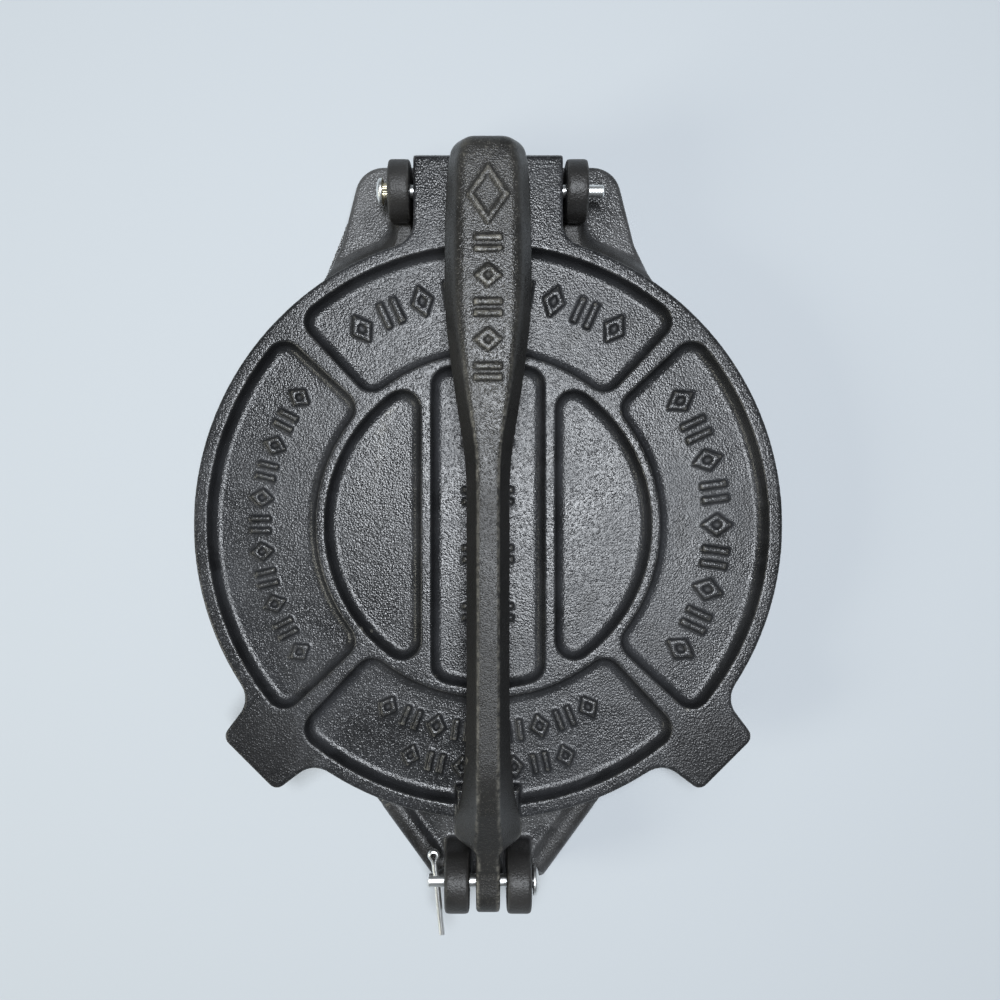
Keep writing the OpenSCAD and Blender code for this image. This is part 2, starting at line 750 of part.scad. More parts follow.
// The split pin: an eye of half-round wire whose two ends lie together as legs.
module split_pin() {
    wire_r = split_r * 0.86;
    eye_r = split_eye_d / 2 - wire_r / 2;
    opening = 30;
    slit = 0.12;
    color(zinc)
    translate([split_x, pivot_y, axis_z])
    rotate([0, 0, split_lean])
    {
        // legs, towards the front, with a thin slit between them
        for (side = [0, 1]) mirror([side, 0, 0])
            intersection() {
                translate([0, -split_tip, 0]) rotate([-90, 0, 0]) cylinder(r = split_r, h = split_tip + split_neck);
                translate([slit / 2, -split_tip - side * 1.5 + 1.5, -split_r])
                    cube([split_r, split_tip + split_neck, split_d]);
            }
        // the joined neck and the eye
        translate([0, split_neck - 1.2, 0]) rotate([-90, 0, 0]) cylinder(r = split_r * 0.98, h = 1.6);
        translate([0, split_neck + eye_r, 0])
            rotate([0, 0, -90])
                rotate_extrude() translate([eye_r, 0]) circle(wire_r / 1.5, $fn = 32);
    }
}

translate([0, shift_y, 0]) base();
translate([0, shift_y, 0]) lid();
translate([0, shift_y, 0]) handle();
translate([0, shift_y, 0]) hinge_pin();
translate([0, shift_y, 0]) lever_pin();
translate([0, shift_y, 0]) split_pin();
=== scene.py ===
import math

import bmesh
import bpy
from mathutils import Matrix, Vector


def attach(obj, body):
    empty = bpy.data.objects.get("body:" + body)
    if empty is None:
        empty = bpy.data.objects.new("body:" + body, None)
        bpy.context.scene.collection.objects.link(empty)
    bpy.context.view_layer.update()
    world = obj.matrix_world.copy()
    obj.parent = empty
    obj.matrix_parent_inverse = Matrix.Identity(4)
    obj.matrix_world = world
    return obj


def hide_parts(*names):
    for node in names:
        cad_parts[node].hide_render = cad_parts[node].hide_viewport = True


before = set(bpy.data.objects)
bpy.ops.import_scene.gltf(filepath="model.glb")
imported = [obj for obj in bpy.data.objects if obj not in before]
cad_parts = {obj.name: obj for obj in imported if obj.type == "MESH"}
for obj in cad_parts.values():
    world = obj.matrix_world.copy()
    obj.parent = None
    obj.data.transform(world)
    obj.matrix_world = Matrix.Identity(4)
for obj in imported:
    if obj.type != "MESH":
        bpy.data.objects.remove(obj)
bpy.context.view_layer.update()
millimetre = 0.001
print("frame loaded")


# helpers for modelling as by hand

def deselectAll():
    if bpy.context.object and bpy.context.object.mode != "OBJECT":
        bpy.ops.object.mode_set(mode="OBJECT")
    bpy.ops.object.select_all(action="DESELECT")


def only(*objects):
    deselectAll()
    for obj in objects:
        obj.select_set(True)
    bpy.context.view_layer.objects.active = objects[0]


def editAll(obj):
    only(obj)
    bpy.ops.object.mode_set(mode="EDIT")
    bpy.ops.mesh.select_mode(type="VERT")
    bpy.ops.mesh.select_all(action="SELECT")


def leaveEdit():
    bpy.ops.object.mode_set(mode="OBJECT")


def pickFaces(obj, test):
    # in edit mode, leaves only the faces selected whose centre and normal pass the test
    mesh = bmesh.from_edit_mesh(obj.data)
    bpy.ops.mesh.select_all(action="DESELECT")
    for face in mesh.faces:
        if test(face.calc_center_median(), face.normal):
            face.select_set(True)
    bmesh.update_edit_mesh(obj.data)


def pickPoints(obj, test):
    mesh = bmesh.from_edit_mesh(obj.data)
    bpy.ops.mesh.select_all(action="DESELECT")
    for point in mesh.verts:
        if test(point.co):
            point.select_set(True)
    mesh.select_flush_mode()
    bmesh.update_edit_mesh(obj.data)


def applyAll(obj):
    only(obj)
    for modifier in list(obj.modifiers):
        bpy.ops.object.modifier_apply(modifier=modifier.name)


def settle(obj, name):
    # a finished piece sits at the origin with its place in its mesh
    only(obj)
    bpy.ops.object.transform_apply(location=True, rotation=True, scale=True)
    obj.name = name
    obj.data.name = name


def facesOutwards(obj):
    editAll(obj)
    bpy.ops.mesh.remove_doubles(threshold=0.00001)
    bpy.ops.mesh.select_all(action="SELECT")
    bpy.ops.mesh.normals_make_consistent(inside=False)
    leaveEdit()


def triangleCount(obj):
    return sum(len(face.vertices) - 2 for face in obj.data.polygons)


# shared effects

def newGroup(name, inputs, outputs):
    group = bpy.data.node_groups.new(name, "ShaderNodeTree")
    for label, value in inputs.items():
        socket = group.interface.new_socket(name=label, in_out="INPUT", socket_type="NodeSocketFloat")
        socket.default_value = value
    for label, kind in outputs.items():
        group.interface.new_socket(name=label, in_out="OUTPUT", socket_type=kind)
    return group, group.nodes.new("NodeGroupInput"), group.nodes.new("NodeGroupOutput")


def addNoise(tree, where, scale, detail, roughness=0.5, distortion=0.0):
    node = tree.nodes.new("ShaderNodeTexNoise")
    node.inputs["Detail"].default_value = detail
    node.inputs["Roughness"].default_value = roughness
    node.inputs["Distortion"].default_value = distortion
    node.inputs["Scale"].default_value = scale
    tree.links.new(where, node.inputs["Vector"])
    return node


def addRange(tree, value, low, high, toLow=0.0, toHigh=1.0):
    node = tree.nodes.new("ShaderNodeMapRange")
    for label, number in (("From Min", low), ("From Max", high), ("To Min", toLow), ("To Max", toHigh)):
        node.inputs[label].default_value = number
    tree.links.new(value, node.inputs["Value"])
    return node.outputs["Result"]


def addMath(tree, operation, first, second):
    node = tree.nodes.new("ShaderNodeMath")
    node.operation = operation
    for slot, value in zip(node.inputs, (first, second)):
        if isinstance(value, (int, float)):
            slot.default_value = value
        else:
            tree.links.new(value, slot)
    return node.outputs["Value"]


def addMix(tree, share, first, second):
    node = tree.nodes.new("ShaderNodeMix")
    node.data_type = "RGBA"
    for label, value in ((0, share), (6, first), (7, second)):
        slot = node.inputs[label]
        if isinstance(value, (int, float)):
            slot.default_value = value
        elif isinstance(value, tuple):
            slot.default_value = (*value, 1)
        else:
            tree.links.new(value, slot)
    return node.outputs[2]


def makeSandGrain():
    # the skin that moulding sand leaves: round grains with finer noise; some grain tops are lighter, partly rubbed wear
    # and partly painted glints
    group, start, end = newGroup(
        "sand grain",
        {"Grain Size": 0.8, "Coarse Depth": 0.1, "Fine Depth": 0.04},
        {"Normal": "NodeSocketVector", "Peaks And Painted Glints": "NodeSocketFloat"},
    )
    where = group.nodes.new("ShaderNodeTexCoord").outputs["Object"]
    perSize = addMath(group, "DIVIDE", 1000.0, start.outputs["Grain Size"])
    shift = addNoise(group, where, 700, 2.0, 0.6)
    bent = group.nodes.new("ShaderNodeVectorMath")
    bent.operation = "MULTIPLY_ADD"
    group.links.new(shift.outputs["Color"], bent.inputs[0])
    bent.inputs[1].default_value = (0.0007, 0.0007, 0.0007)
    group.links.new(where, bent.inputs[2])
    grains = group.nodes.new("ShaderNodeTexVoronoi")
    grains.feature = "F1"
    group.links.new(bent.outputs["Vector"], grains.inputs["Vector"])
    group.links.new(perSize, grains.inputs["Scale"])
    fine = addNoise(group, where, 2600, 2.0, 0.65)
    waves = addNoise(group, where, 300, 2.0, 0.6)
    domes = addRange(group, grains.outputs["Distance"], 0.75, 0.05)
    which = group.nodes.new("ShaderNodeSeparateColor")
    group.links.new(grains.outputs["Color"], which.inputs["Color"])
    tall = addRange(group, which.outputs["Red"], 0.0, 1.0, 0.35, 1.0)
    height = addMath(group, "MULTIPLY", addMath(group, "MULTIPLY", domes, tall), start.outputs["Coarse Depth"])
    fineHeight = addMath(group, "MULTIPLY", fine.outputs["Fac"], start.outputs["Fine Depth"])
    waveHeight = addMath(group, "MULTIPLY", addRange(group, waves.outputs["Fac"], 0.3, 0.7), 0.035)
    total = addMath(group, "ADD", addMath(group, "ADD", height, fineHeight), waveHeight)
    bump = group.nodes.new("ShaderNodeBump")
    bump.inputs["Distance"].default_value = millimetre
    bump.inputs["Strength"].default_value = 1.0
    group.links.new(total, bump.inputs["Height"])
    group.links.new(bump.outputs["Normal"], end.inputs["Normal"])
    # painted glints: bright grain tops only where the casting faces up towards the lamp, so that the walls stay dark
    facing = group.nodes.new("ShaderNodeSeparateXYZ")
    group.links.new(group.nodes.new("ShaderNodeTexCoord").outputs["Normal"], facing.inputs["Vector"])
    flat = addRange(group, addMath(group, "ABSOLUTE", facing.outputs["Z"], 0.0), 0.75, 0.95)
    chosen = addRange(group, which.outputs["Green"], 0.45, 0.75)
    glintPeaks = addMath(group, "MULTIPLY", addRange(group, domes, 0.45, 0.85), chosen)
    group.links.new(addMath(group, "MULTIPLY", glintPeaks, flat), end.inputs["Peaks And Painted Glints"])
    return group


def makeOilCloud():
    # uneven baked oil: wide clouds and darker smudges
    group, start, end = newGroup("oil cloud", {"Cloud Scale": 22.0}, {"Clouds": "NodeSocketFloat", "Spots": "NodeSocketFloat"})
    where = group.nodes.new("ShaderNodeTexCoord").outputs["Object"]
    clouds = addNoise(group, where, 22, 4.0, 0.62, 0.6)
    group.links.new(start.outputs["Cloud Scale"], clouds.inputs["Scale"])
    spots = addNoise(group, where, 48, 3.0, 0.6, 1.1)
    group.links.new(addRange(group, clouds.outputs["Fac"], 0.34, 0.66), end.inputs["Clouds"])
    group.links.new(addRange(group, spots.outputs["Fac"], 0.54, 0.66), end.inputs["Spots"])
    return group


def makeEdgeRubAndHollowShade():
    # ridges of the casting where handling has rubbed the seasoning thin, and painted shade in its hollows
    group, start, end = newGroup(
        "edge rub and hollow shade", {"From": 0.53, "To": 0.6},
        {"Ridges": "NodeSocketFloat", "Shaded Hollows": "NodeSocketFloat", "Dips": "NodeSocketFloat"},
    )
    where = group.nodes.new("ShaderNodeTexCoord").outputs["Object"]
    geometry = group.nodes.new("ShaderNodeNewGeometry")
    ridges = group.nodes.new("ShaderNodeMapRange")
    group.links.new(geometry.outputs["Pointiness"], ridges.inputs["Value"])
    group.links.new(start.outputs["From"], ridges.inputs["From Min"])
    group.links.new(start.outputs["To"], ridges.inputs["From Max"])
    broken = addNoise(group, where, 420, 3.0, 0.7)
    patchy = addRange(group, broken.outputs["Fac"], 0.42, 0.6, 0.08, 1.0)
    group.links.new(addMath(group, "MULTIPLY", ridges.outputs["Result"], patchy), end.inputs["Ridges"])
    # painted shade: the concave hollows get a darker colour, as if less light fell there
    group.links.new(addRange(group, geometry.outputs["Pointiness"], 0.47, 0.4), end.inputs["Shaded Hollows"])
    group.links.new(addRange(group, geometry.outputs["Pointiness"], 0.493, 0.46), end.inputs["Dips"])
    return group


sandGrain = makeSandGrain()
oilCloud = makeOilCloud()
edgeRubAndHollowShade = makeEdgeRubAndHollowShade()


def useGroup(tree, group, **values):
    node = tree.nodes.new("ShaderNodeGroup")
    node.node_tree = group
    for label, value in values.items():
        node.inputs[label.replace("_", " ")].default_value = value
    return node


def newMaterial(name):
    material = bpy.data.materials.new(name)
    material.use_nodes = True
    tree = material.node_tree
    return material, tree, tree.nodes["Principled BSDF"]


def addDarkLugPlace(tree, patch):
    # a darker, duller place on each side of the casting, the same left and right
    where = tree.nodes.new("ShaderNodeTexCoord").outputs["Object"]
    split = tree.nodes.new("ShaderNodeSeparateXYZ")
    tree.links.new(where, split.inputs["Vector"])
    mirrored = tree.nodes.new("ShaderNodeCombineXYZ")
    tree.links.new(addMath(tree, "ABSOLUTE", split.outputs["X"], 0.0), mirrored.inputs["X"])
    tree.links.new(split.outputs["Y"], mirrored.inputs["Y"])
    away = tree.nodes.new("ShaderNodeVectorMath")
    away.operation = "DISTANCE"
    tree.links.new(mirrored.outputs["Vector"], away.inputs[0])
    away.inputs[1].default_value = (patch["x"], patch["y"], 0)
    uneven = addNoise(tree, where, 120, 3.0, 0.6)
    spread = addMath(tree, "ADD", away.outputs["Value"], addMath(tree, "MULTIPLY", uneven.outputs["Fac"], 0.012))
    return addRange(tree, spread, patch["radius"] + 0.006, patch["radius"] - 0.002)


def addDulling(tree, dull):
    # 1 on the duller, darker end of the casting and 0 on the rest, with a wavering border
    where = tree.nodes.new("ShaderNodeTexCoord").outputs["Object"]
    split = tree.nodes.new("ShaderNodeSeparateXYZ")
    tree.links.new(where, split.inputs["Vector"])
    uneven = addNoise(tree, where, 70, 3.0, 0.6)
    shifted = addMath(tree, "MULTIPLY", uneven.outputs["Fac"], dull["waver"])
    return addRange(tree, addMath(tree, "ADD", split.outputs[dull["axis"]], shifted), dull["to"], dull["from"])


def makeIron(name, look, patch=None, dull=None):
    material, tree, shader = newMaterial(name)
    grain = useGroup(tree, sandGrain, Grain_Size=look["grainSize"], Coarse_Depth=look["grainDepth"], Fine_Depth=look["fineDepth"])
    oil = useGroup(tree, oilCloud, Cloud_Scale=look["cloudScale"])
    rubAndShade = useGroup(tree, edgeRubAndHollowShade, From=look["rubFrom"], To=look["rubTo"])
    body = addMix(tree, oil.outputs["Clouds"], look["darkIron"], look["greyIron"])
    # painted glints: lighter grain tops on upward faces, partly rubbed wear
    body = addMix(tree, addMath(tree, "MULTIPLY", grain.outputs["Peaks And Painted Glints"], look["peakGlintShare"]), body, look["peakGlintColour"])
    if dull:
        body = addMix(tree, addMath(tree, "MULTIPLY", addDulling(tree, dull), dull["share"]), body, dull["colour"])
    body = addMix(tree, addMath(tree, "MULTIPLY", oil.outputs["Spots"], look["spotShare"]), body, look["darkIron"])
    if patch:
        body = addMix(tree, addMath(tree, "MULTIPLY", addDarkLugPlace(tree, patch), patch["share"]), body, patch["colour"])
    # painted shade in the concave hollows
    body = addMix(tree, addMath(tree, "MULTIPLY", rubAndShade.outputs["Shaded Hollows"], look["hollowShadeShare"]), body, look["hollowShadeColour"])
    body = addMix(tree, addMath(tree, "MULTIPLY", rubAndShade.outputs["Ridges"], look["rubShare"]), body, look["rubColour"])
    tree.links.new(body, shader.inputs["Base Color"])
    rough = addRange(tree, oil.outputs["Clouds"], 0, 1, look["roughLow"], look["roughHigh"])
    rough = addMath(tree, "ADD", rough, addMath(tree, "MULTIPLY", rubAndShade.outputs["Dips"], look["dipRough"]))
    if patch:
        rough = addMath(tree, "ADD", rough, addMath(tree, "MULTIPLY", addDarkLugPlace(tree, patch), patch["roughMore"]))
    if dull:
        rough = addMath(tree, "ADD", rough, addMath(tree, "MULTIPLY", addDulling(tree, dull), dull["roughMore"]))
    tree.links.new(rough, shader.inputs["Roughness"])
    tree.links.new(grain.outputs["Normal"], shader.inputs["Normal"])
    shader.inputs["Specular IOR Level"].default_value = look["shine"]
    return material


ironLook = {
    "grainSize": 0.74, "grainDepth": 0.098, "fineDepth": 0.034, "cloudScale": 24.0,
    "darkIron": (0.014, 0.0145, 0.0155), "greyIron": (0.036, 0.037, 0.040),
    "peakGlintColour": (0.16, 0.165, 0.175), "peakGlintShare": 0.55, "spotShare": 0.85,
    "hollowShadeColour": (0.007, 0.007, 0.008), "hollowShadeShare": 0.95, "dipRough": 0.3,
    "rubFrom": 0.522, "rubTo": 0.585, "rubColour": (0.24, 0.23, 0.20), "rubShare": 0.75,
    "roughLow": 0.19, "roughHigh": 0.31, "shine": 0.42,
}
# the handle's lighter edge colour is partly rubbed wear and partly a painted highlight along its ridges, and its
# brighter grain tops are painted glints
handleLook = dict(
    ironLook, grainSize=0.62, grainDepth=0.11, fineDepth=0.04, darkIron=(0.015, 0.0145, 0.0135),
    greyIron=(0.028, 0.027, 0.025), peakGlintColour=(0.22, 0.208, 0.18), peakGlintShare=0.6, rubColour=(0.36, 0.34, 0.29),
    rubShare=0.65, rubFrom=0.506, rubTo=0.535, roughLow=0.22, roughHigh=0.34, shine=0.43,
)
lugPatch = {"x": 0.0815, "y": -0.0755, "radius": 0.019, "colour": (0.012, 0.012, 0.013), "share": 0.92, "roughMore": 0.05}
barDull = {"axis": "Y", "from": 0.030, "to": 0.060, "waver": 0.03, "share": 0.5, "colour": (0.012, 0.0115, 0.011), "roughMore": 0.15}
lidIron = makeIron("seasoned iron lid", ironLook, patch=lugPatch)
# the base uses a lighter copy of the same iron: painted light, to lift its low feet, which the lamp leaves darker
baseLook = dict(ironLook, cloudScale=19.0, greyIron=(0.095, 0.095, 0.096), spotShare=0.5, shine=0.45)
earDull = {"axis": "Z", "from": 0.0185, "to": 0.0165, "waver": 0.002, "share": 0.8, "colour": (0.015, 0.0135, 0.012), "roughMore": 0.2}
baseIron = makeIron("seasoned iron base", baseLook, dull=earDull)
handleIron = makeIron("seasoned iron handle", handleLook, dull=barDull)


def makeZinc(name, look):
    material, tree, shader = newMaterial(name)
    where = tree.nodes.new("ShaderNodeTexCoord").outputs["Object"]
    cloud = addNoise(tree, where, look["cloudScale"], 3.0, 0.6)
    streak = addNoise(tree, where, 1400, 2.0, 0.6)
    shade = addRange(tree, cloud.outputs["Fac"], 0.35, 0.65)
    tree.links.new(addMix(tree, shade, look["dull"], look["bright"]), shader.inputs["Base Color"])
    tree.links.new(addRange(tree, cloud.outputs["Fac"], 0.3, 0.7, look["roughHigh"], look["roughLow"]), shader.inputs["Roughness"])
    shader.inputs["Metallic"].default_value = 1.0
    bump = tree.nodes.new("ShaderNodeBump")
    bump.inputs["Distance"].default_value = 0.02 * millimetre
    tree.links.new(streak.outputs["Fac"], bump.inputs["Height"])
    tree.links.new(bump.outputs["Normal"], shader.inputs["Normal"])
    return material


brightZinc = makeZinc("bright zinc", {
    "cloudScale": 260.0, "dull": (0.74, 0.75, 0.74), "bright": (0.92, 0.93, 0.92), "roughLow": 0.28, "roughHigh": 0.46,
})
yellowZinc = makeZinc("yellow zinc", {
    "cloudScale": 300.0, "dull": (0.58, 0.53, 0.38), "bright": (0.80, 0.75, 0.58), "roughLow": 0.36, "roughHigh": 0.52,
})
print("materials made")


# raised ornament, cast in one with the lid and the handle

def makeLozenge(size):
    # a lozenge frame: a four-sided prism, narrower at its top, which is inset and sunk
    deselectAll()
    bpy.ops.mesh.primitive_cylinder_add(
        vertices=4, radius=0.5, depth=1, rotation=(0, 0, 0), location=(0, 0, 0)
    )
    piece = bpy.context.object
    piece.scale = (size["wide"], size["long"], size["rise"] + size["root"])
    bpy.ops.object.transform_apply(location=True, rotation=True, scale=True)
    editAll(piece)
    pickFaces(piece, lambda centre, normal: normal.z > 0.9)
    bpy.ops.transform.resize(value=(0.94, 0.94, 1), center_override=(0, 0, 0))
    bpy.ops.mesh.inset(thickness=size["stroke"])
    bpy.ops.mesh.extrude_region_move(TRANSFORM_OT_translate={"value": (0, 0, -size["rise"])})
    leaveEdit()
    return piece


def makeBar(size):
    deselectAll()
    bpy.ops.mesh.primitive_cube_add(size=1, location=(0, 0, 0))
    piece = bpy.context.object
    piece.scale = (size["wide"], size["long"], size["rise"] + size["root"])
    bpy.ops.object.transform_apply(location=True, rotation=True, scale=True)
    editAll(piece)
    pickFaces(piece, lambda centre, normal: normal.z > 0.9)
    bpy.ops.mesh.bevel(offset=0.25 * size["rise"], segments=2)
    leaveEdit()
    return piece


def placeCopy(master, spot, turn, floor, size, pitch=0.0):
    copy = bpy.data.objects.new("ornament", master.data.copy())
    bpy.context.scene.collection.objects.link(copy)
    copy.location = (spot[0], spot[1], floor + (size["rise"] - size["root"]) / 2)
    copy.rotation_euler = (pitch, 0, turn)
    only(copy)
    bpy.ops.object.transform_apply(location=True, rotation=True, scale=True)
    return copy


hingeY, leverY, axisZ = 0.1302475, -0.1262525, 0.0275
pinBore = 0.00248
lidMiddleY = hingeY - 0.124
pocketFloor = 0.0275

ornamentSettings = {
    # rows of ornament: middle angle from straight back, radius, step, count, size and tilt
    "rise": 1.3 * millimetre,
    "root": 1.0 * millimetre,
    "rows": (
        {"angle": 0, "radius": 0.0865, "step": 8.2, "count": 9, "tall": 0.0124, "wide": 0.0086, "stroke": 0.0019},
        {"angle": -90, "radius": 0.0850, "step": 8.2, "count": 9, "tall": 0.0122, "wide": 0.0086, "stroke": 0.0019},
        {"angle": 90, "radius": 0.0845, "step": 6.8, "count": 11, "tall": 0.0092, "wide": 0.0072, "stroke": 0.0015},
        {"angle": 180, "radius": 0.0772, "step": 7.2, "count": 9, "tall": 0.0096, "wide": 0.0074, "stroke": 0.0015},
        {"angle": 180, "radius": 0.0905, "step": 6.2, "count": 7, "tall": 0.0090, "wide": 0.0072, "stroke": 0.0015},
    ),
    "columnCount": 9, "columnStep": 0.0108, "columnTall": 0.0160, "columnWide": 0.0082, "columnStroke": 0.0019,
    "columnBar": 0.0184,
}


def makeLidOrnament(settings):
    copies = []
    rise, root = settings["rise"], settings["root"]
    for row in settings["rows"]:
        lozenge = {"wide": row["wide"], "long": row["tall"], "rise": rise, "root": root, "stroke": row["stroke"]}
        bar = {"wide": row["stroke"] * 1.15, "long": row["tall"] * 0.8, "rise": rise, "root": root}
        masters = [(makeLozenge(lozenge), lozenge), (makeBar(bar), bar)]
        for index in range(row["count"]):
            away = index - (row["count"] - 1) / 2
            angle = math.radians(row["angle"] - away * row["step"])
            spot = (-row["radius"] * math.sin(angle), lidMiddleY + row["radius"] * math.cos(angle))
            if index % 2 == 0:
                copies.append(placeCopy(masters[0][0], spot, angle, pocketFloor, lozenge))
            else:
                for side in (-1, 1):
                    offset = side * row["wide"] * 0.31
                    shifted = (spot[0] + offset * math.cos(angle), spot[1] + offset * math.sin(angle))
                    copies.append(placeCopy(masters[1][0], shifted, angle, pocketFloor, bar))
        for master, size in masters:
            bpy.data.objects.remove(master, do_unlink=True)
    wide, tall, stroke = settings["columnWide"], settings["columnTall"], settings["columnStroke"]
    lozenge = {"wide": wide, "long": tall, "rise": rise, "root": root, "stroke": stroke}
    bar = {"wide": stroke, "long": settings["columnBar"], "rise": rise, "root": root}
    masters = makeLozenge(lozenge), makeBar(bar)
    for index in range(settings["columnCount"]):
        spotY = lidMiddleY + (index - (settings["columnCount"] - 1) / 2) * settings["columnStep"]
        if index % 2 == 0:
            copies.append(placeCopy(masters[0], (0, spotY), math.pi / 2, pocketFloor, lozenge))
        else:
            for side in (-1, 1):
                copies.append(placeCopy(masters[1], (0, spotY + side * wide * 0.26), math.pi / 2, pocketFloor, bar))
    for master in masters:
        bpy.data.objects.remove(master, do_unlink=True)
    return copies


gripOrnament = {
    "rise": 0.75 * millimetre, "root": 1.2 * millimetre, "afterLeaf": 0.0165,
    "step": 0.0108, "count": 5, "wide": 0.0096, "long": 0.0082, "stroke": 0.0017,
    "leafY": 0.1185, "leafWide": 0.0150, "leafLong": 0.0215, "barGap": 0.0019,
}


def gripTop(y):
    # height and slope of the handle's upper face on its middle line
    reach = 2 * millimetre
    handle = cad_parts["handle"]
    heights = [handle.ray_cast((0, y + shift, 0.2), (0, 0, -1))[1].z for shift in (-reach, 0, reach)]
    return heights[1], math.atan2(heights[2] - heights[0], 2 * reach)


def makeGripOrnament(settings):
    rise, root = settings["rise"], settings["root"]
    big = {"wide": settings["leafWide"], "long": settings["leafLong"], "rise": rise, "root": root, "stroke": settings["stroke"]}
    small = {"wide": settings["wide"], "long": settings["long"], "rise": rise, "root": root, "stroke": settings["stroke"]}
    bar = {"wide": settings["wide"] * 0.95, "long": settings["stroke"], "rise": rise, "root": root}
    copies = []
    masters = makeLozenge(big), makeLozenge(small), makeBar(bar)
    spots = [(masters[0], settings["leafY"], big)]
    for index in range(settings["count"]):
        spotY = settings["leafY"] - settings["afterLeaf"] - index * settings["step"]
        if index % 2 == 0:
            spots += [(masters[2], spotY + side * settings["barGap"], bar) for side in (-1, 1)]
        else:
            spots.append((masters[1], spotY, small))
    for master, spotY, size in spots:
        top, pitch = gripTop(spotY)
        copies.append(placeCopy(master, (0, spotY), 0, top, size, pitch))
    for master in masters:
        bpy.data.objects.remove(master, do_unlink=True)
    return copies


# castings: a copy of the solid with its edges melted round, as iron leaves the sand

def makeCasting(node, name, settings, extras, bores):
    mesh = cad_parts[node].data.copy()
    piece = bpy.data.objects.new(name, mesh)
    bpy.context.scene.collection.objects.link(piece)
    editAll(piece)
    bpy.ops.mesh.remove_doubles(threshold=0.000001)
    leaveEdit()
    if extras:
        only(piece, *extras)
        bpy.ops.object.join()
    only(piece)
    remesh = piece.modifiers.new("cast skin", "REMESH")
    remesh.mode = "VOXEL"
    remesh.voxel_size = settings["voxel"]
    smooth = piece.modifiers.new("cast rounding", "SMOOTH")
    smooth.factor = 0.5
    smooth.iterations = settings["rounding"]
    applyAll(piece)
    if settings["softFrom"]:
        group = piece.vertex_groups.new(name="well rounded")
        chosen = [point.index for point in piece.data.vertices if settings["softFrom"](point.co)]
        group.add(chosen, 1.0, "REPLACE")
        soft = piece.modifiers.new("worn round", "SMOOTH")
        soft.factor = 0.5
        soft.iterations = settings["softening"]
        soft.vertex_group = group.name
        applyAll(piece)
        piece.vertex_groups.clear()
    dense = triangleCount(piece)
    decimate = piece.modifiers.new("fewer faces", "DECIMATE")
    decimate.ratio = min(1.0, settings["triangles"] / dense)
    applyAll(piece)
    for bore in bores:
        cutBore(piece, bore)
    only(piece)
    bpy.ops.object.shade_smooth_by_angle(angle=math.radians(50))
    settle(piece, name)
    print(name, "made,", dense, "triangles before and", triangleCount(piece), "after")
    return piece


def cutBore(piece, bore):
    deselectAll()
    length = bore["to"] - bore["from"]
    bpy.ops.mesh.primitive_cylinder_add(
        vertices=48, radius=bore["radius"], depth=length,
        location=((bore["to"] + bore["from"]) / 2, bore["y"], axisZ), rotation=(0, math.pi / 2, 0),
    )
    cutter = bpy.context.object
    bpy.ops.object.transform_apply(location=True, rotation=True, scale=True)
    cut = piece.modifiers.new("bore", "BOOLEAN")
    cut.operation = "DIFFERENCE"
    cut.solver = "MANIFOLD"
    cut.object = cutter
    applyAll(piece)
    bpy.data.objects.remove(cutter, do_unlink=True)


def onAnEar(co):
    # the upper parts of the four ears of the base, and the ribs of its front foot
    rear = abs(co.x) > 0.0280 and co.y > hingeY - 0.0130 and co.z > 0.0165
    front = 0.0062 < abs(co.x) < 0.0170 and co.y < leverY + 0.0130 and co.z > 0.0165
    rib = 0.0150 < abs(co.x) < 0.0420 and -0.1290 < co.y < -0.0980 and 0.0125 < co.z < 0.0180
    return rear or front or rib


def onTheRim(co):
    # the outer upper edge of the lid, and the back edge of its hinge block
    outer = math.hypot(co.x, co.y - lidMiddleY) > 0.1058 and co.z > 0.0305
    return outer or (co.y > hingeY + 0.0070 and co.z > 0.0280)


def besideTheOrnament(co):
    # the whole handle, but not the ornament on its grip
    return co.y < 0.035 or abs(co.x) > 0.0085 or co.y > 0.1325


castingSettings = {
    "base": {"voxel": 0.00060, "rounding": 8, "triangles": 175000, "softFrom": onAnEar, "softening": 16},
    "lid": {"voxel": 0.00050, "rounding": 3, "triangles": 190000, "softFrom": onTheRim, "softening": 10},
    "handle": {"voxel": 0.00050, "rounding": 5, "triangles": 110000, "softFrom": besideTheOrnament, "softening": 16},
}


footRibSettings = {
    # a broad round rib along each slanting edge of the front foot
    "top": 0.0143, "rise": 0.0026, "halfWidth": 0.0042,
    "from": (0.0378, -0.1000), "to": (0.0182, -0.1270),
}


def makeFootRibs(settings):
    copies = []
    start, end = Vector((*settings["from"], 0)), Vector((*settings["to"], 0))
    middle, run = (start + end) / 2, end - start
    for side in (-1, 1):
        deselectAll()
        bpy.ops.mesh.primitive_cylinder_add(vertices=32, radius=1, depth=1, rotation=(0, math.pi / 2, 0), location=(0, 0, 0))
        rib = bpy.context.object
        bpy.ops.object.transform_apply(location=True, rotation=True, scale=True)
        rib.scale = (run.length, settings["halfWidth"], settings["rise"])
        bpy.ops.object.transform_apply(location=True, rotation=True, scale=True)
        rib.location = (side * middle.x, middle.y, settings["top"])
        rib.rotation_euler = (0, 0, math.atan2(run.y, side * run.x))
        only(rib)
        bpy.ops.object.transform_apply(location=True, rotation=True, scale=True)
        copies.append(rib)
    return copies


lidPiece = makeCasting(
    "lid", "lid_casting", castingSettings["lid"], makeLidOrnament(ornamentSettings),
    [{"y": hingeY, "radius": pinBore, "from": -0.03, "to": 0.03}],
)
lidPiece.data.materials.clear()
lidPiece.data.materials.append(lidIron)
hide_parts("lid")
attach(lidPiece, "lid")

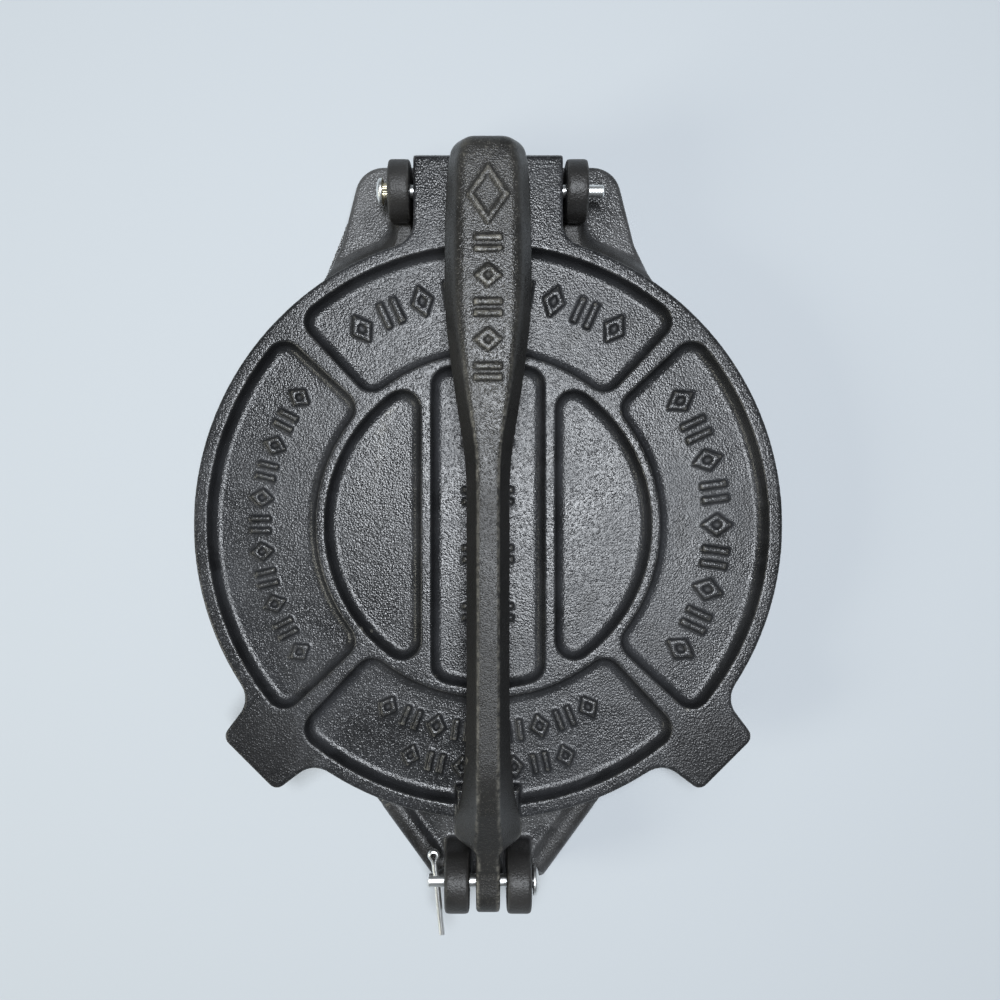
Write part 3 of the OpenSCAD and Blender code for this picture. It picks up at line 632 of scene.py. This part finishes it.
basePiece = makeCasting(
    "base", "base_casting", castingSettings["base"], makeFootRibs(footRibSettings),
    [
        {"y": hingeY, "radius": pinBore, "from": -0.038, "to": 0.038},
        {"y": hingeY, "radius": 0.00306, "from": -0.038, "to": -0.0337},
        {"y": leverY, "radius": pinBore, "from": -0.0175, "to": 0.0175},
    ],
)
basePiece.data.materials.clear()
basePiece.data.materials.append(baseIron)
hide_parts("base")
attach(basePiece, "base")

handlePiece = makeCasting(
    "handle", "lever_casting", castingSettings["handle"], makeGripOrnament(gripOrnament),
    [{"y": leverY, "radius": pinBore, "from": -0.006, "to": 0.006}],
)
handlePiece.data.materials.clear()
handlePiece.data.materials.append(handleIron)
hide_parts("handle")
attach(handlePiece, "lever")
print("castings made")


# turned and bent metal

def turnPiece(spot, radius, steps, sides=48):
    # starts with a small disc across X and draws it out step by step: (along X, new radius)
    deselectAll()
    bpy.ops.mesh.primitive_circle_add(
        vertices=sides, radius=radius, fill_type="NGON", location=spot, rotation=(0, math.pi / 2, 0)
    )
    piece = bpy.context.object
    bpy.ops.object.transform_apply(location=True, rotation=True, scale=True)
    editAll(piece)
    last = radius
    for along, following in steps:
        bpy.ops.mesh.extrude_region_move(TRANSFORM_OT_translate={"value": (along, 0, 0)})
        grow = following / last
        bpy.ops.transform.resize(value=(1, grow, grow), center_override=spot)
        last = following
    leaveEdit()
    facesOutwards(piece)
    return piece


def domeSteps(radius, thick, count):
    # from a small disc at the crown out to the rim, then down a short straight side
    rim = thick * 0.34
    crown = thick - rim
    steps = []
    before = 0.0
    for index in range(1, count + 1):
        angle = math.pi / 2 * index / count
        depth = crown * (1 - math.cos(angle))
        steps.append((depth - before, radius * max(0.08, math.sin(angle))))
        before = depth
    steps.append((rim * 0.7, radius))
    steps.append((rim * 0.3, radius * 0.95))
    return steps


hingePinSettings = {
    "headRadius": 0.00485, "headThick": 0.0026, "neckRadius": 0.00300, "neckOut": 0.0026, "neckIn": 0.0029,
    "radius": 0.0024, "left": -0.0416, "right": 0.0431, "chamfer": 0.0005,
}


def makeHingePin(settings):
    radius, neck = settings["radius"], settings["neckRadius"]
    neckLength = settings["neckOut"] + settings["neckIn"]
    shank = settings["right"] - settings["left"] - settings["headThick"] - neckLength
    steps = domeSteps(settings["headRadius"], settings["headThick"], 9)
    steps += [(0.00001, neck), (neckLength - 0.0003, neck), (0.0003, radius)]
    steps += [(shank - settings["chamfer"], radius), (settings["chamfer"], radius * 0.8), (0.00001, radius * 0.35)]
    piece = turnPiece((settings["left"], hingeY, axisZ), settings["headRadius"] * 0.08, steps)
    # ribs of the neck: every other line of points is pressed in
    editAll(piece)
    neckFrom = settings["left"] + settings["headThick"] - 0.0001
    neckTo = neckFrom + neckLength

    def inGroove(point):
        turn = math.atan2(point.z - axisZ, point.y - hingeY) / (2 * math.pi) * 48
        far = math.hypot(point.z - axisZ, point.y - hingeY)
        return neckFrom < point.x < neckTo and abs(far - neck) < 0.0001 and round(turn) % 2 == 0

    pickPoints(piece, inGroove)
    bpy.ops.transform.resize(value=(1, 0.95, 0.95), center_override=(0, hingeY, axisZ))
    leaveEdit()
    only(piece)
    bpy.ops.object.shade_smooth_by_angle(angle=math.radians(35))
    settle(piece, "hinge_pin_piece")
    return piece


hingePin = makeHingePin(hingePinSettings)
hingePin.data.materials.append(brightZinc)
hingePin.data.materials.append(yellowZinc)
for face in hingePin.data.polygons:
    if -0.0394 < face.center.x < -0.0330:
        face.material_index = 1
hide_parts("hinge_pin")
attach(hingePin, "base")

leverPinSettings = {
    "headRadius": 0.0052, "headThick": 0.0023, "radius": 0.0024, "head": 0.0190, "end": -0.0224, "chamfer": 0.0005,
    "holeRadius": 0.0013, "holeX": -0.0192,
}


def makeLeverPin(settings):
    radius = settings["radius"]
    shank = settings["head"] - settings["end"] - settings["headThick"]
    steps = [(-along, wide) for along, wide in domeSteps(settings["headRadius"], settings["headThick"], 9)]
    steps += [(-0.00001, radius * 1.25), (-0.0004, radius)]
    steps += [(-(shank - 0.0004 - settings["chamfer"]), radius), (-settings["chamfer"], radius * 0.8), (-0.00001, radius * 0.35)]
    piece = turnPiece((settings["head"], leverY, axisZ), settings["headRadius"] * 0.08, steps)
    deselectAll()
    bpy.ops.mesh.primitive_cylinder_add(
        vertices=32, radius=settings["holeRadius"], depth=0.012,
        location=(settings["holeX"], leverY, axisZ), rotation=(math.pi / 2, 0, 0),
    )
    drill = bpy.context.object
    bpy.ops.object.transform_apply(location=True, rotation=True, scale=True)
    cut = piece.modifiers.new("cross hole", "BOOLEAN")
    cut.operation = "DIFFERENCE"
    cut.solver = "EXACT"
    cut.object = drill
    applyAll(piece)
    bpy.data.objects.remove(drill, do_unlink=True)
    only(piece)
    bpy.ops.object.shade_smooth_by_angle(angle=math.radians(35))
    settle(piece, "lever_pin_piece")
    return piece


leverPin = makeLeverPin(leverPinSettings)
leverPin.data.materials.append(brightZinc)
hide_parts("lever_pin")
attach(leverPin, "base")

splitPinSettings = {
    "wire": 0.00112, "slit": 0.00005, "tip": -0.0200, "neck": 0.0058, "flareRadius": 0.0052, "flareAngle": 35.0,
    "lean": 5.985, "x": -0.0192,
}


def makeSplitPin(settings):
    # half-round wire: one leg, half the eye, then mirrored
    deselectAll()
    bpy.ops.mesh.primitive_circle_add(
        vertices=32, radius=settings["wire"], fill_type="NGON",
        location=(settings["slit"], settings["tip"], 0), rotation=(math.pi / 2, 0, 0),
    )
    piece = bpy.context.object
    bpy.ops.object.transform_apply(location=True, rotation=True, scale=True)
    editAll(piece)
    bpy.ops.mesh.bisect(plane_co=(settings["slit"], 0, 0), plane_no=(1, 0, 0), clear_inner=True)
    bpy.ops.mesh.select_all(action="SELECT")
    bpy.ops.mesh.extrude_region_move(TRANSFORM_OT_translate={"value": (0, 0.0012, 0)})
    bpy.ops.mesh.extrude_region_move(TRANSFORM_OT_translate={"value": (0, settings["neck"] - settings["tip"] - 0.0012, 0)})
    bend = math.radians(settings["flareAngle"])
    flare = settings["flareRadius"]
    eye = flare * (1 - math.cos(bend)) / math.cos(bend)
    eyeY = settings["neck"] + (flare + eye) * math.sin(bend)
    bpy.ops.mesh.spin(
        steps=6, angle=bend, center=(settings["slit"] + flare, settings["neck"], 0), axis=(0, 0, 1)
    )
    bpy.ops.mesh.spin(
        steps=18, angle=bend + math.pi / 2, center=(settings["slit"], eyeY, 0), axis=(0, 0, -1)
    )
    leaveEdit()
    mirror = piece.modifiers.new("other leg", "MIRROR")
    mirror.use_axis = (True, False, False)
    mirror.merge_threshold = 0.0001
    applyAll(piece)
    facesOutwards(piece)
    piece.location = (settings["x"], leverY, axisZ)
    piece.rotation_euler = (0, 0, math.radians(settings["lean"]))
    only(piece)
    bpy.ops.object.shade_smooth_by_angle(angle=math.radians(40))
    settle(piece, "split_pin_piece")
    return piece


splitPin = makeSplitPin(splitPinSettings)
splitPin.data.materials.append(brightZinc)
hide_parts("split_pin")
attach(splitPin, "base")
print("pins made")


# floor, light and camera

stageSettings = {
    "floorSize": 6.0, "floorColour": (0.570, 0.605, 0.635),
    "worldColour": (0.88, 0.92, 0.95), "worldLevel": 0.11, "worldHorizon": 0.25,
    "backdropColour": (0.62, 0.68, 0.74), "backdropFrom": 0.28, "backdropTo": 0.75,
    "lamps": (
        {"name": "main soft light", "place": (0.05, 0.115, 1.30), "power": 18.0, "wide": 0.22, "deep": 0.68, "turn": 129, "colour": (0.91, 0.95, 1.0)},
        {"name": "side soft light", "place": (-1.10, -0.40, 0.70), "power": 5.0, "wide": 0.45, "deep": 0.45, "turn": 20, "colour": (1.0, 0.985, 0.85)},
    ),
}


def makeStage(settings):
    deselectAll()
    bpy.ops.mesh.primitive_plane_add(size=settings["floorSize"], location=(0, 0, 0))
    floor = bpy.context.object
    floor.name = "floor"
    material, tree, shader = newMaterial("pale floor")
    shader.inputs["Base Color"].default_value = (*settings["floorColour"], 1)
    shader.inputs["Roughness"].default_value = 0.7
    fadeToBackdrop(tree, shader, settings)
    floor.data.materials.append(material)
    makeRoom(settings)
    for lamp in settings["lamps"]:
        addLamp(lamp)


def fadeToBackdrop(tree, shader, settings):
    # far from the object the camera sees the floor in the backdrop's plain colour
    away = tree.nodes.new("ShaderNodeVectorMath")
    away.operation = "LENGTH"
    tree.links.new(tree.nodes.new("ShaderNodeTexCoord").outputs["Object"], away.inputs[0])
    far = addRange(tree, away.outputs["Value"], settings["backdropFrom"], settings["backdropTo"])
    seen = tree.nodes.new("ShaderNodeLightPath").outputs["Is Camera Ray"]
    plain = tree.nodes.new("ShaderNodeEmission")
    plain.inputs["Color"].default_value = (*settings["backdropColour"], 1)
    mix = tree.nodes.new("ShaderNodeMixShader")
    tree.links.new(addMath(tree, "MULTIPLY", far, seen), mix.inputs[0])
    tree.links.new(shader.outputs[0], mix.inputs[1])
    tree.links.new(plain.outputs[0], mix.inputs[2])
    tree.links.new(mix.outputs[0], tree.nodes["Material Output"].inputs["Surface"])


def makeRoom(settings):
    # a dim room, darker near its horizon, with the plain backdrop before the camera and in low reflections
    world = bpy.data.worlds.new("soft room")
    world.use_nodes = True
    tree = world.node_tree
    room = tree.nodes["Background"]
    room.inputs["Color"].default_value = (*settings["worldColour"], 1)
    split = tree.nodes.new("ShaderNodeSeparateXYZ")
    tree.links.new(tree.nodes.new("ShaderNodeTexCoord").outputs["Generated"], split.inputs["Vector"])
    level, low = settings["worldLevel"], settings["worldLevel"] * settings["worldHorizon"]
    tree.links.new(addRange(tree, split.outputs["Z"], 0.05, 0.75, low, level), room.inputs["Strength"])
    backdrop = tree.nodes.new("ShaderNodeBackground")
    backdrop.inputs["Color"].default_value = (*settings["backdropColour"], 1)
    path = tree.nodes.new("ShaderNodeLightPath")
    lowDown = addRange(tree, split.outputs["Z"], 0.30, 0.12)
    mirrored = addMath(tree, "MAXIMUM", path.outputs["Is Glossy Ray"], path.outputs["Is Transmission Ray"])
    share = addMath(tree, "MAXIMUM", path.outputs["Is Camera Ray"], addMath(tree, "MULTIPLY", mirrored, lowDown))
    mix = tree.nodes.new("ShaderNodeMixShader")
    tree.links.new(share, mix.inputs[0])
    tree.links.new(room.outputs[0], mix.inputs[1])
    tree.links.new(backdrop.outputs[0], mix.inputs[2])
    tree.links.new(mix.outputs[0], tree.nodes["World Output"].inputs["Surface"])
    bpy.context.scene.world = world


def addLamp(settings):
    deselectAll()
    bpy.ops.object.light_add(type="AREA", location=settings["place"])
    lamp = bpy.context.object
    lamp.name = settings["name"]
    lamp.data.shape = "RECTANGLE"
    lamp.data.size = settings["wide"]
    lamp.data.size_y = settings["deep"]
    lamp.data.energy = settings["power"]
    lamp.data.color = settings["colour"]
    # it shines at the object, and its long side lies along the compass turn, counted from +X
    back = (Vector(settings["place"]) - Vector((0, 0, 0.02))).normalized()
    turn = math.radians(settings["turn"])
    across = Vector((math.cos(turn), math.sin(turn), 0)).cross(back).normalized()
    lamp.rotation_euler = Matrix((across, back.cross(across), back)).transposed().to_euler()


cameraSettings = {"place": (-0.0002, 0.0154, 0.3638), "lens": 32.508, "sensor": 36.0, "shiftX": 0.0125}


def makeCamera(settings):
    data = bpy.data.cameras.new("camera")
    camera = bpy.data.objects.new("camera", data)
    bpy.context.scene.collection.objects.link(camera)
    camera.location = settings["place"]
    data.lens = settings["lens"]
    data.sensor_width = settings["sensor"]
    data.shift_x = settings["shiftX"]
    data.clip_start = 0.01
    bpy.context.scene.camera = camera


makeStage(stageSettings)
makeCamera(cameraSettings)
bpy.context.scene.view_settings.view_transform = "Standard"
print("stage made")
